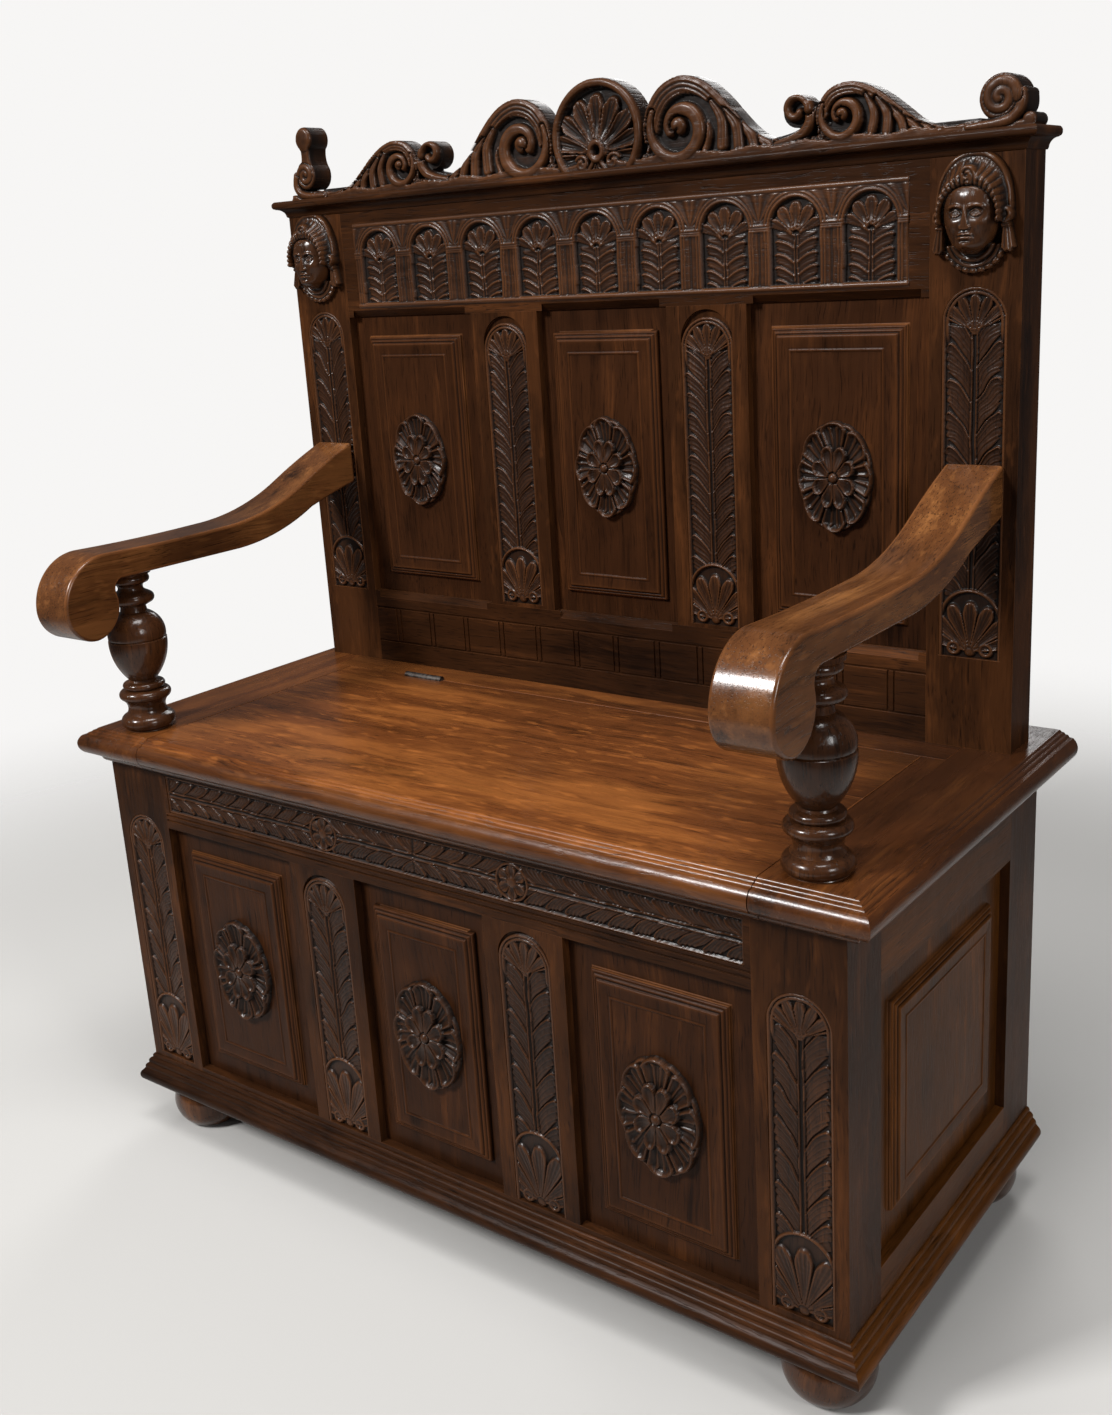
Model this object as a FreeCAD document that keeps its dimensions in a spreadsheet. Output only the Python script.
import FreeCAD, Part
import math
import os
import re
import Sketcher

doc = FreeCAD.newDocument("settle")
sheet = doc.addObject("Spreadsheet::Sheet", "sizes")

# Driving dimensions of the settle, in millimetres
drivingSizes = {
    # moulded seat slab
    "slab_over": 30,
    "slab_deep": 480,
    "slab_thick": 40,
    "seat_high": 515,
    "nose_reach": 24,
    "lid_inset": 73,
    "lid_gap": 1,
    "end_board_lap": 48,
    "lid_back_set": 343,
    "lid_front_board_deep": 86,
    "lid_board_thick": 26,
    "batten_wide": 46,
    "batten_thick": 20,
    "batten_inset": 60,
    # panelled case under the seat
    "case_wide": 930,
    "case_front_set": 22,
    "case_back_set": 30,
    "foot_high": 60,
    "foot_round": 44,
    "foot_inset_x": 41,
    "foot_inset_y": 42,
    "dowel_round": 12,
    "dowel_long": 24,
    "plinth_high": 35,
    "plinth_out": 16,
    "post_wide": 88,
    "front_post_deep": 62,
    "rear_post_wide": 62,
    "rear_post_deep": 70,
    "frame_thick": 26,
    "top_rail_deep": 67,
    "bottom_rail_deep": 41,
    "side_low_rail_deep": 71,
    "muntin_wide": 95,
    "muntin_place": 132.5,
    "groove_thick": 9,
    "groove_set": 10,
    "groove_deep": 9,
    "tenon_long": 24,
    "tenon_shoulder": 6,
    "fit_gap": 0.1,
    "panel_gap": 1,
    "panel_margin": 26,
    "field_lift": 3,
    "field_rise": 4.5,
    "field_splay": 72,
    "side_margin": 34,
    "case_back_rail_deep": 60,
    "bottom_board_thick": 9,
    "bottom_board_lift": 8,
    # sunk grounds of the carving
    "strip_wide": 62,
    "strip_sink": 4,
    "strip_margin": 8,
    "rail_band_wide": 44,
    "rail_band_drop": 3,
    "rail_band_inset": 6,
    "bead_line": 2,
    # panelled back above the seat
    "back_set": 386,
    "back_inset": 5,
    "back_stile_wide": 87,
    "back_stile_thick": 50,
    "back_rail_thick": 34,
    "back_low_rail_deep": 92,
    "back_high_rail_deep": 122,
    "back_opening_high": 341,
    "back_strip_foot": 92,
    "arch_count": 9,
    "arch_pitch": 78.6,
    "arch_wide": 58,
    "arch_high": 84,
    "arch_foot": 16,
    "arcade_sink": 4,
    "incised_count": 13,
    "incised_width": 2.5,
    "incised_pitch": 56,
    "incised_pair": 7,
    "incised_high": 44,
    "incised_foot": 28,
    "sill_chamfer": 8,
    "back_panel_margin": 24,
    "cornice_thick": 19,
    "cornice_out": 14,
    "cornice_back_out": 2,
    # rosettes and masks
    "rosette_wide": 90,
    "rosette_high": 140,
    "rosette_thick": 10,
    "rosette_bud": 8,
    "back_rosette_scale": 0.92,
    "mask_wide": 76,
    "mask_high": 104,
    "mask_disc_thick": 8,
    "mask_head_wide": 25,
    "mask_head_high": 36,
    "mask_depth": 27,
    "mask_drop": 3,
    # arms and turned posts
    "arm_reach": 57,
    "arm_half": 28,
    "arm_inset": 41,
    "arm_rise": 213,
    "arm_thick": 30,
    "arm_back_rise": 281,
    "arm_back_deep": 70,
    "scroll_round": 35,
    "scroll_drop": 48,
    "turned_inset": 35,
    "turned_set": 52,
    "turned_belly": 32.5,
    "turned_neck": 14,
    "turned_ring": 24,
    "turned_disc": 29,
    "turned_torus": 30,
    "turned_tenon": 11,
    # lid hinges
    "hinge_place": 262,
    "hinge_long": 58,
    "hinge_thick": 2.4,
    "hinge_deep": 24,
    "knuckle_round": 4.5,
    "pin_round": 2.5,
    "pin_gap": 0.06,
    "knuckle_gap": 0.3,
    # scrolled cresting
    "crest_set": 8,
    "crest_thick": 28,
    "crest_base_high": 11,
    "crest_inset": 48,
    "shell_round": 57,
    "shell_lift": 34,
    "shell_flutes": 9,
    "volute_gap": 1,
    "volute_round": 42,
    "volute_lift": 38,
    "volute_tail_inset": 194,
    "volute_eye": 8,
    "curl_inset": 180,
    "curl_round": 15,
    "curl_lift": 35,
    "scroll_inset": 130,
    "scroll_size": 27,
    "scroll_lift": 28,
    "scroll_tail_inset": 34,
    "finial_inset": 30,
    "finial_thick": 34,
    "finial_roll": 17,
    "finial_left_roll": 14,
    "finial_lift": 31,
    "finial_ball": 16.5,
    "finial_ball_lift": 66,
    "finial_neck_half": 7,
    "relief_step": 3,
}

for row, (name, size) in enumerate(drivingSizes.items(), start=1):
    sheet.set("A%d" % row, name)
    sheet.set("B%d" % row, str(size))
    sheet.setAlias("B%d" % row, name)
doc.recompute()

nodes = {}


def bound(text):
    """Write an expression on the sheet's cells from the plain names of the sizes."""
    return re.sub(r"[a-z][a-z_]+", lambda found: "sizes." + found.group()
                  if found.group() in drivingSizes else found.group(), text)


def number(text):
    return float(sheet.evalExpression(bound(text)))


def keep(label, piece):
    """Name a finished sub-part; its label is its node's name."""
    piece.Label = label
    nodes[label] = piece
    return piece


# Levels and places that several pieces share
seatFront = "((arm_reach - slab_deep) / 2)"
slabUnder = "(seat_high - slab_thick)"
caseFront = "(%s + case_front_set)" % seatFront
caseBack = "(%s + slab_deep - case_back_set)" % seatFront
caseHalf = "(case_wide / 2)"
caseFoot = "foot_high"
slabWide = "(case_wide + 2 * slab_over)"
backHalf = "(case_wide / 2 - back_inset)"
armPlace = "(%s - arm_inset)" % backHalf
turnedPlace = "(%s - turned_inset)" % backHalf
finialPlace = "(%s - finial_inset)" % backHalf
crestHalf = "(%s - crest_inset)" % backHalf
volutePlace = "(shell_round + volute_round + volute_gap)"
voluteTail = "(%s - volute_tail_inset)" % crestHalf
curlPlace = "(%s - curl_inset)" % crestHalf
scrollPlace = "(%s - scroll_inset)" % crestHalf
scrollTail = "(%s - scroll_tail_inset)" % crestHalf
lidHalf = "(%s - lid_inset)" % backHalf
openingFoot = "(foot_high + bottom_rail_deep)"
openingHead = "(%s - top_rail_deep)" % slabUnder
backFront = "(%s + back_set)" % seatFront
backOpenFoot = "(seat_high + back_low_rail_deep)"
backOpenHead = "(%s + back_opening_high)" % backOpenFoot
corniceFoot = "(%s + back_high_rail_deep)" % backOpenHead
crestFoot = "(%s + cornice_thick)" % corniceFoot
postInner = "(case_wide / 2 - post_wide)"
stileInner = "(%s - back_stile_wide)" % backHalf
muntinIn = "(muntin_place - muntin_wide / 2)"
muntinOut = "(muntin_place + muntin_wide / 2)"


def block(name, low, high):
    """A squared length of timber between two corners, each given as three expressions."""
    box = doc.addObject("Part::Box", name)
    for size, axis, start, end in zip(("Length", "Width", "Height"), "xyz", low, high):
        box.setExpression(size, bound("(%s) - (%s)" % (end, start)))
        box.setExpression(".Placement.Base." + axis, bound(start))
    return box


def mirrored(low, high, side):
    """The same two corners on the left (side -1) or the right (side 1)."""
    if side > 0:
        return low, high
    return ("-(%s)" % high[0],) + tuple(low[1:]), ("-(%s)" % low[0],) + tuple(high[1:])


def upright(name, radius, long, place, turn=None):
    """A round bar that stands along Z from the given place, or along the way it is turned."""
    bar = doc.addObject("Part::Cylinder", name)
    if turn:
        bar.Placement = FreeCAD.Placement(FreeCAD.Vector(), turn)
    bar.setExpression("Radius", bound(radius))
    bar.setExpression("Height", bound(long))
    for axis, value in zip("xyz", place):
        bar.setExpression(".Placement.Base." + axis, bound(value))
    return bar


def roundel(name, radius, thick, place):
    """A disc that faces the front; place is the centre of its front face."""
    return upright(name, radius, thick, place, FreeCAD.Rotation(FreeCAD.Vector(1, 0, 0), -90))


def sill(name, start, end, front, top, way=1):
    """The wedge that a stopped chamfer takes off a rail's front edge, under the edge or (way -1) over it."""
    wedge = doc.addObject("Part::Wedge", name)
    spread = "((%s) - (%s))" % (end, start)
    ends = {"Xmin": "sill_chamfer", "Xmax": spread + " - sill_chamfer",
            "X2min": "0", "X2max": spread, "Ymin": "0", "Ymax": "sill_chamfer",
            "Zmin": "-(sill_chamfer)", "Zmax": "1", "Z2min": "0", "Z2max": "1"}
    if way < 0:
        ends.update({"Zmin": "-1", "Zmax": "sill_chamfer", "Z2min": "-1", "Z2max": "0"})
    for edge, text in ends.items():
        wedge.setExpression(edge, bound(text))
    for axis, value in zip("xyz", (start, front, top)):
        wedge.setExpression(".Placement.Base." + axis, bound(value))
    return wedge


def joined(name, pieces):
    if len(pieces) == 1:
        return pieces[0]
    union = doc.addObject("Part::MultiFuse", name)
    union.Shapes = pieces
    union.Refine = True
    return union


def worked(label, timbers, cuts=()):
    """Fuse the timbers of one member, cut its grooves and mortises, and keep it."""
    whole = joined(label + "_stock", timbers)
    if cuts:
        member = doc.addObject("Part::Cut", label + "_worked")
        member.Base = whole
        member.Tool = joined(label + "_cuts", list(cuts))
        member.Refine = True
        whole = member
    return keep(label, whole)


def blocks(name, corners, side=1):
    return [block("%s_%d" % (name, index), *mirrored(low, high, side))
            for index, (low, high) in enumerate(corners)]


def bodyPlane(body, role):
    return [plane for plane in body.Origin.OriginFeatures if plane.Role == role][0]


def drawn(body, name, role, outline, offset=None):
    """A closed sketch on one of the body's own planes.

    Each corner is (across, up) or (across, up, radius, bulge), where the radius
    rounds the edge to the next corner, and bulge is the side it swells to.
    """
    sketch = body.newObject("Sketcher::SketchObject", name)
    sketch.AttachmentSupport = [(bodyPlane(body, role), "")]
    sketch.MapMode = "FlatFace"
    if offset:
        sketch.setExpression(".AttachmentOffset.Base.z", bound(offset))
    points = [FreeCAD.Vector(number(corner[0]), number(corner[1]), 0) for corner in outline]
    count = len(points)
    forward = []
    for index, corner in enumerate(outline):
        start, end = points[index], points[(index + 1) % count]
        if len(corner) == 2:
            sketch.addGeometry(Part.LineSegment(start, end), False)
            forward.append(True)
            continue
        chord = end - start
        radius = number(corner[2])
        rise = radius - math.sqrt(max(radius ** 2 - (chord.Length / 2) ** 2, 0))
        normal = FreeCAD.Vector(-chord.y, chord.x, 0).normalize() * corner[3]
        centre = (start + end) * 0.5 + normal * (rise - radius)
        first, last = (end, start) if corner[3] > 0 else (start, end)
        angles = [math.atan2(point.y - centre.y, point.x - centre.x) for point in (first, last)]
        circle = Part.Circle(centre, FreeCAD.Vector(0, 0, 1), radius)
        sketch.addGeometry(Part.ArcOfCircle(circle, angles[0], angles[1]), False)
        forward.append(corner[3] < 0)
    for index, corner in enumerate(outline):
        following = (index + 1) % count
        ends = (2 if forward[index] else 1, 1 if forward[following] else 2)
        sketch.addConstraint(Sketcher.Constraint("Coincident", index, ends[0], following, ends[1]))
        if len(corner) > 2:
            at = sketch.addConstraint(Sketcher.Constraint("Radius", index, number(corner[2])))
            sketch.setExpression("Constraints[%d]" % at, bound(corner[2]))
        first = 1 if forward[index] else 2
        for kind, text in (("DistanceX", corner[0]), ("DistanceY", corner[1])):
            at = sketch.addConstraint(Sketcher.Constraint(kind, -1, 1, index, first, number(text)))
            sketch.setExpression("Constraints[%d]" % at, bound(text))
    return sketch


def newBody(name):
    return doc.addObject("PartDesign::Body", name + "_body")


def padded(body, name, sketch, long, backwards=False, middle=False, splay=None):
    pad = body.newObject("PartDesign::Pad", name)
    pad.Profile = sketch
    pad.setExpression("Length", bound(long))
    pad.Midplane = middle
    pad.Reversed = backwards
    if splay:
        pad.setExpression("TaperAngle", bound(splay))
    return pad


def pocketed(body, name, sketch, deep, backwards=False, middle=False):
    pocket = body.newObject("PartDesign::Pocket", name)
    pocket.Profile = sketch
    pocket.setExpression("Length", bound(deep))
    pocket.Midplane = middle
    pocket.Reversed = backwards
    return pocket


def seat(piece, place):
    for axis, value in zip("xyz", place):
        piece.setExpression(".Placement.Base." + axis, bound(value))
    return piece


def timber(front, low, high, across=None):
    """Corners of a frame's groove or tenon, set back from the frame's front face."""
    near = "%s + groove_set" % front
    return (across[0], near, low), (across[1], near + " + groove_thick", high)


def grown(corners, axes="y", gap="fit_gap"):
    """The same corners with a clearance on the given axes, for a mortise or groove."""
    low, high = list(corners[0]), list(corners[1])
    for axis in axes:
        at = "xyz".index(axis)
        low[at] = "(%s) - %s" % (low[at], gap)
        high[at] = "(%s) + %s" % (high[at], gap)
    return tuple(low), tuple(high)


def sunkStrip(name, centre, front, foot, head):
    """The sunk, round-headed ground of an upright strip of carving."""
    half = "strip_wide / 2"
    ground = block(name + "_ground",
                   ("%s - %s" % (centre, half), "%s - 1" % front, foot),
                   ("%s + %s" % (centre, half), "%s + strip_sink" % front, "%s - %s" % (head, half)))
    arch = roundel(name + "_arch", half, "strip_sink + 1",
                   (centre, "%s - 1" % front, "%s - %s" % (head, half)))
    return [ground, arch]


# Corner posts of the case, each with the strip of carving sunk in its front face
sideWays = (("left", -1), ("right", 1))
frontInside = "(%s + front_post_deep)" % caseFront
rearInside = "(%s - rear_post_deep)" % caseBack
rearInner = "(case_wide / 2 - rear_post_wide)"
sideOpenFoot = "(foot_high + side_low_rail_deep)"
topTenon = ("%s + tenon_shoulder" % openingHead, "%s - tenon_shoulder" % slabUnder)
lowTenon = ("foot_high + tenon_shoulder", "%s - tenon_shoulder" % openingFoot)
sideLowTenon = ("foot_high + tenon_shoulder", "%s - tenon_shoulder" % sideOpenFoot)
sidePlane = ("%s - groove_set - groove_thick" % caseHalf, "%s - groove_set" % caseHalf)
backPlane = ("%s - groove_set - groove_thick" % caseBack, "%s - groove_set" % caseBack)
caseBackOpen = ("foot_high + case_back_rail_deep", "%s - case_back_rail_deep" % slabUnder)


for hand, side in sideWays:
    stock = blocks("front_post_%s_stock" % hand,
                   [((postInner, caseFront, caseFoot), (caseHalf, frontInside, slabUnder))], side)
    cuts = []
    for low, high in (topTenon, lowTenon):
        cuts.append(grown(timber(caseFront, low, high,
                                 (postInner, "%s + tenon_long + fit_gap" % postInner)), "yz"))
    cuts.append(grown(timber(caseFront, "%s - groove_deep" % openingFoot, "%s + groove_deep" % openingHead,
                             (postInner, "%s + groove_deep" % postInner))))
    for low, high in (topTenon, sideLowTenon):
        cuts.append(((sidePlane[0] + " - fit_gap", "%s - tenon_long - fit_gap" % frontInside,
                      low + " - fit_gap"),
                     (sidePlane[1] + " + fit_gap", frontInside, high + " + fit_gap")))
    cuts.append(((sidePlane[0] + " - fit_gap", "%s - groove_deep" % frontInside,
                  "%s - groove_deep" % sideOpenFoot),
                 (sidePlane[1] + " + fit_gap", frontInside, "%s + groove_deep" % openingHead)))
    tools = blocks("front_post_%s_cut" % hand, cuts, side)
    tools += sunkStrip("front_post_%s_strip" % hand, "%d * (%s + post_wide / 2)" % (side, postInner),
                       caseFront,
                       "%s + 1" % openingFoot, "%s + strip_margin" % openingHead)
    tools.append(upright("front_post_%s_socket" % hand, "dowel_round + fit_gap", "dowel_long + 1",
                         ("%d * (%s - foot_inset_x)" % (side, caseHalf), "%s + foot_inset_y" % caseFront,
                          "foot_high")))
    worked("front_post_" + hand, stock, tools)

    stock = blocks("rear_post_%s_stock" % hand,
                   [((rearInner, rearInside, caseFoot), (caseHalf, caseBack, slabUnder))], side)
    cuts = []
    for low, high in (topTenon, sideLowTenon):
        cuts.append(((sidePlane[0] + " - fit_gap", rearInside, low + " - fit_gap"),
                     (sidePlane[1] + " + fit_gap", "%s + tenon_long + fit_gap" % rearInside,
                      high + " + fit_gap")))
    cuts.append(((sidePlane[0] + " - fit_gap", rearInside, "%s - groove_deep" % sideOpenFoot),
                 (sidePlane[1] + " + fit_gap", "%s + groove_deep" % rearInside,
                  "%s + groove_deep" % openingHead)))
    for low, high in ((caseBackOpen[1] + " + tenon_shoulder", slabUnder + " - tenon_shoulder"),
                      ("foot_high + tenon_shoulder", caseBackOpen[0] + " - tenon_shoulder")):
        cuts.append(((rearInner, backPlane[0] + " - fit_gap", low + " - fit_gap"),
                     ("%s + tenon_long + fit_gap" % rearInner, backPlane[1] + " + fit_gap",
                      high + " + fit_gap")))
    cuts.append(((rearInner, backPlane[0] + " - fit_gap", caseBackOpen[0] + " - groove_deep"),
                 ("%s + groove_deep" % rearInner, backPlane[1] + " + fit_gap",
                  caseBackOpen[1] + " + groove_deep")))
    tools = blocks("rear_post_%s_cut" % hand, cuts, side)
    tools.append(upright("rear_post_%s_socket" % hand, "dowel_round + fit_gap", "dowel_long + 1",
                         ("%d * (%s - foot_inset_x)" % (side, caseHalf), "%s - foot_inset_y" % caseBack,
                          "foot_high")))
    worked("rear_post_" + hand, stock, tools)


# Rails of the case front, tenoned into the posts, with the long sunk band on the upper one
def cross(half, plus=""):
    return ("-(%s%s)" % (half, plus), "%s%s" % (half, plus))


frameBack = "(%s + frame_thick)" % caseFront
boardFoot = "(foot_high + bottom_board_lift)"
boardHead = "(%s + bottom_board_thick)" % boardFoot
boardTongue = "6"
wide = cross(postInner)
# The grooves run on through the tenons, which gives the panels' corners their room
grooveWide = cross(postInner, " + groove_deep")
tenonWide = cross(postInner, " + tenon_long")
stock = blocks("front_top_rail_stock", [
    ((wide[0], caseFront, openingHead), (wide[1], frameBack, slabUnder)),
    timber(caseFront, topTenon[0], topTenon[1], tenonWide)])
cuts = [grown(timber(caseFront, openingHead, "%s + groove_deep" % openingHead, grooveWide))]
bandFoot = "(%s - rail_band_drop - rail_band_wide)" % slabUnder
cuts.append((("-(%s - rail_band_inset)" % postInner, "%s - 1" % caseFront, bandFoot),
             ("%s - rail_band_inset" % postInner, "%s + strip_sink" % caseFront,
              "%s + rail_band_wide" % bandFoot)))
for drop in ("3", "9"):
    cuts.append(((wide[0], "%s - 1" % caseFront, "%s - %s - bead_line" % (bandFoot, drop)),
                 (wide[1], "%s + 1.5" % caseFront, "%s - %s" % (bandFoot, drop))))
tools = blocks("front_top_rail_cut", cuts)
for hand, side in sideWays:
    tools += blocks("front_top_rail_mortise_" + hand, [grown(timber(
        caseFront, openingHead, "%s + tenon_long + fit_gap" % openingHead,
        ("%s + tenon_shoulder" % muntinIn, "%s - tenon_shoulder" % muntinOut)), "xy")], side)
worked("front_top_rail", stock, tools)

stock = blocks("front_bottom_rail_stock", [
    ((wide[0], caseFront, caseFoot), (wide[1], frameBack, openingFoot)),
    timber(caseFront, lowTenon[0], lowTenon[1], tenonWide)])
cuts = [grown(timber(caseFront, "%s - groove_deep" % openingFoot, openingFoot, grooveWide)),
        ((wide[0], "%s - %s" % (frameBack, boardTongue), "%s - fit_gap" % boardFoot),
         (wide[1], frameBack, "%s + fit_gap" % boardHead))]
tools = blocks("front_bottom_rail_cut", cuts)
for hand, side in sideWays:
    tools += blocks("front_bottom_rail_mortise_" + hand, [grown(timber(
        caseFront, "%s - tenon_long - fit_gap" % openingFoot, openingFoot,
        ("%s + tenon_shoulder" % muntinIn, "%s - tenon_shoulder" % muntinOut)), "xy")], side)
worked("front_bottom_rail", stock, tools)


def muntin(label, side, front, thick, foot, head, tenonFoot, margins):
    """An upright between two rails, grooved on both edges, with a strip of carving."""
    stock = blocks(label + "_stock", [
        ((muntinIn, front, foot), (muntinOut, "%s + %s" % (front, thick), head)),
        timber(front, "%s - %s" % (foot, tenonFoot), "%s + tenon_long" % head,
               ("%s + tenon_shoulder" % muntinIn, "%s - tenon_shoulder" % muntinOut))], side)
    ends = ("%s - groove_deep" % foot, "%s + groove_deep" % head)
    edges = [grown(timber(front, ends[0], ends[1], (muntinIn, "%s + groove_deep" % muntinIn))),
             grown(timber(front, ends[0], ends[1], ("%s - groove_deep" % muntinOut, muntinOut)))]
    tools = blocks(label + "_groove", edges, side)
    tools += sunkStrip(label + "_strip", "%d * muntin_place" % side, front,
                       "%s + %s" % (foot, margins[0]), "%s - %s" % (head, margins[1]))
    return worked(label, stock, tools)


for hand, side in sideWays:
    muntin("front_muntin_" + hand, side, caseFront, "frame_thick", openingFoot, openingHead,
           "tenon_long", ("1", "strip_margin + 2"))

# Rails of the case sides and the plain framed back of the case
for hand, side in sideWays:
    for level, foot, head, tenon in (("top", openingHead, slabUnder, topTenon),
                                     ("bottom", caseFoot, sideOpenFoot, sideLowTenon)):
        label = "side_%s_rail_%s" % (level, hand)
        stock = blocks(label + "_stock", [
            (("%s - frame_thick" % caseHalf, frontInside, foot), (caseHalf, rearInside, head)),
            ((sidePlane[0], "%s - tenon_long" % frontInside, tenon[0]),
             (sidePlane[1], "%s + tenon_long" % rearInside, tenon[1]))], side)
        edge = (openingHead, "%s + groove_deep" % openingHead)
        if level == "bottom":
            edge = ("%s - groove_deep" % sideOpenFoot, sideOpenFoot)
        cuts = [((sidePlane[0] + " - fit_gap", "%s - groove_deep" % frontInside, edge[0]),
                 (sidePlane[1] + " + fit_gap", "%s + groove_deep" % rearInside, edge[1]))]
        if level == "bottom":
            cuts.append((("%s - frame_thick" % caseHalf, frontInside, "%s - fit_gap" % boardFoot),
                         ("%s - frame_thick + %s" % (caseHalf, boardTongue), rearInside,
                          "%s + fit_gap" % boardHead)))
        worked(label, stock, blocks(label + "_cut", cuts, side))

wide = cross(rearInner)
grooveWide = cross(rearInner, " + groove_deep")
tenonWide = cross(rearInner, " + tenon_long")
for level, foot, head, edge in (
        ("top", caseBackOpen[1], slabUnder, (caseBackOpen[1], caseBackOpen[1] + " + groove_deep")),
        ("bottom", caseFoot, caseBackOpen[0], (caseBackOpen[0] + " - groove_deep", caseBackOpen[0]))):
    label = "case_back_%s_rail" % level
    stock = blocks(label + "_stock", [
        ((wide[0], "%s - frame_thick" % caseBack, foot), (wide[1], caseBack, head)),
        ((tenonWide[0], backPlane[0], foot + " + tenon_shoulder"),
         (tenonWide[1], backPlane[1], head + " - tenon_shoulder"))])
    cuts = [((grooveWide[0], backPlane[0] + " - fit_gap", edge[0]),
             (grooveWide[1], backPlane[1] + " + fit_gap", edge[1]))]
    if level == "bottom":
        cuts.append(((wide[0], "%s - frame_thick" % caseBack, "%s - fit_gap" % boardFoot),
                     (wide[1], "%s - frame_thick + %s" % (caseBack, boardTongue),
                      "%s + fit_gap" % boardHead)))
    worked(label, stock, blocks(label + "_cut", cuts))

tongue = "(groove_deep - panel_gap)"
worked("case_back_panel", blocks("case_back_panel_board", [
    (("-(%s + %s)" % (rearInner, tongue), backPlane[0], "%s - %s" % (caseBackOpen[0], tongue)),
     ("%s + %s" % (rearInner, tongue), backPlane[1], "%s + %s" % (caseBackOpen[1], tongue)))]))

# Three bottom boards that lie in the grooves of the lower rails
boardHalf = "(%s - frame_thick + %s - panel_gap)" % (caseHalf, boardTongue)
worked("bottom_boards", [doc.addObject("Part::Compound", "bottom_boards_set")])
nodes["bottom_boards"].Links = blocks("bottom_board", [
    (("-(%s - panel_gap)" % postInner, "%s - %s + panel_gap" % (frameBack, boardTongue), boardFoot),
     ("%s - panel_gap" % postInner, frontInside, boardHead)),
    (("-%s" % boardHalf, "%s + panel_gap" % frontInside, boardFoot),
     (boardHalf, "%s - panel_gap" % rearInside, boardHead)),
    (("-(%s - panel_gap)" % rearInner, rearInside, boardFoot),
     ("%s - panel_gap" % rearInner, "%s - frame_thick + %s - panel_gap" % (caseBack, boardTongue),
      boardHead))])


def fieldedPanel(label, role, plane, across, up, margin, way=1):
    """A panel with thin edges in its grooves and a raised field with splayed sides.

    plane is the place of the panel's hidden face along the sketch's normal, and way
    is the side of that plane on which the field shows.
    """
    body = newBody(label)
    low, high = across
    foot, head = up
    outline = [("%s - %s" % (low, tongue), "%s - %s" % (foot, tongue)),
               ("%s + %s" % (high, tongue), "%s - %s" % (foot, tongue)),
               ("%s + %s" % (high, tongue), "%s + %s" % (head, tongue)),
               ("%s - %s" % (low, tongue), "%s + %s" % (head, tongue))]
    thick = "groove_thick - 2 * fit_gap"
    sketch = drawn(body, label + "_edge", role, outline, plane)
    padded(body, label + "_board", sketch, thick, backwards=way < 0)
    sign = "+" if way > 0 else "-"
    field = [("%s + %s" % (low, margin), "%s + %s" % (foot, margin)),
             ("%s - %s" % (high, margin), "%s + %s" % (foot, margin)),
             ("%s - %s" % (high, margin), "%s - %s" % (head, margin)),
             ("%s + %s" % (low, margin), "%s - %s" % (head, margin))]
    sketch = drawn(body, label + "_step", role, field, "%s %s (%s)" % (plane, sign, thick))
    padded(body, label + "_lift", sketch, "field_lift", backwards=way < 0)
    sketch = drawn(body, label + "_field", role, field, "%s %s (%s + field_lift)" % (plane, sign, thick))
    padded(body, label + "_rise", sketch, "field_rise", backwards=way < 0, splay="-(field_splay)")
    return keep(label, body)


# The sketch plane of the front and the back looks to the front, so its places count from there
frontPanelPlane = "-(%s + groove_set + groove_thick - fit_gap)" % caseFront
bays = (("left", "-%s" % postInner, "-%s" % muntinOut),
        ("centre", "-%s" % muntinIn, muntinIn),
        ("right", muntinOut, postInner))
for hand, low, high in bays:
    fieldedPanel("front_panel_" + hand, "XZ_Plane", frontPanelPlane, (low, high),
                 (openingFoot, openingHead), "panel_margin")
for hand, side in sideWays:
    plane = "%d * (%s + fit_gap)" % (side, sidePlane[0])
    fieldedPanel("side_panel_" + hand, "YZ_Plane", plane, (frontInside, rearInside),
                 (sideOpenFoot, openingHead), "side_margin", way=side)

# Plinth moulding, mitred at the front corners, with reeds above a round nose
plinthShares = [(0, 0), (0.75, 0, 0.257, -1), (0.75, 0.43), (0.656, 0.486, 0.143, -1), (0.4375, 0.657),
                (0.4375, 0.686, 0.143, -1), (0.1875, 0.857), (0.1875, 0.886, 0.114, -1), (0.0625, 1),
                (0, 1)]
plinthNose = [("plinth_out * %s" % share[0], "plinth_high * %s" % share[1])
              + (("plinth_high * %s" % share[2], share[3]) if len(share) > 2 else ())
              for share in plinthShares]


def alongside(profile, start, way, base, swap=1):
    """Place a moulding's profile: along from a start line, up from a base.

    swap is -1 for a profile whose distances run inwards from its nose.
    """
    points = []
    for corner in profile:
        across = "%s %s (%s)" % (start, "+" if way > 0 else "-", corner[0])
        point = (across, "%s + %s" % (base, corner[1]))
        if len(corner) > 2:
            point += (corner[2], corner[3] * way * swap)
        points.append(point)
    return points


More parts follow.
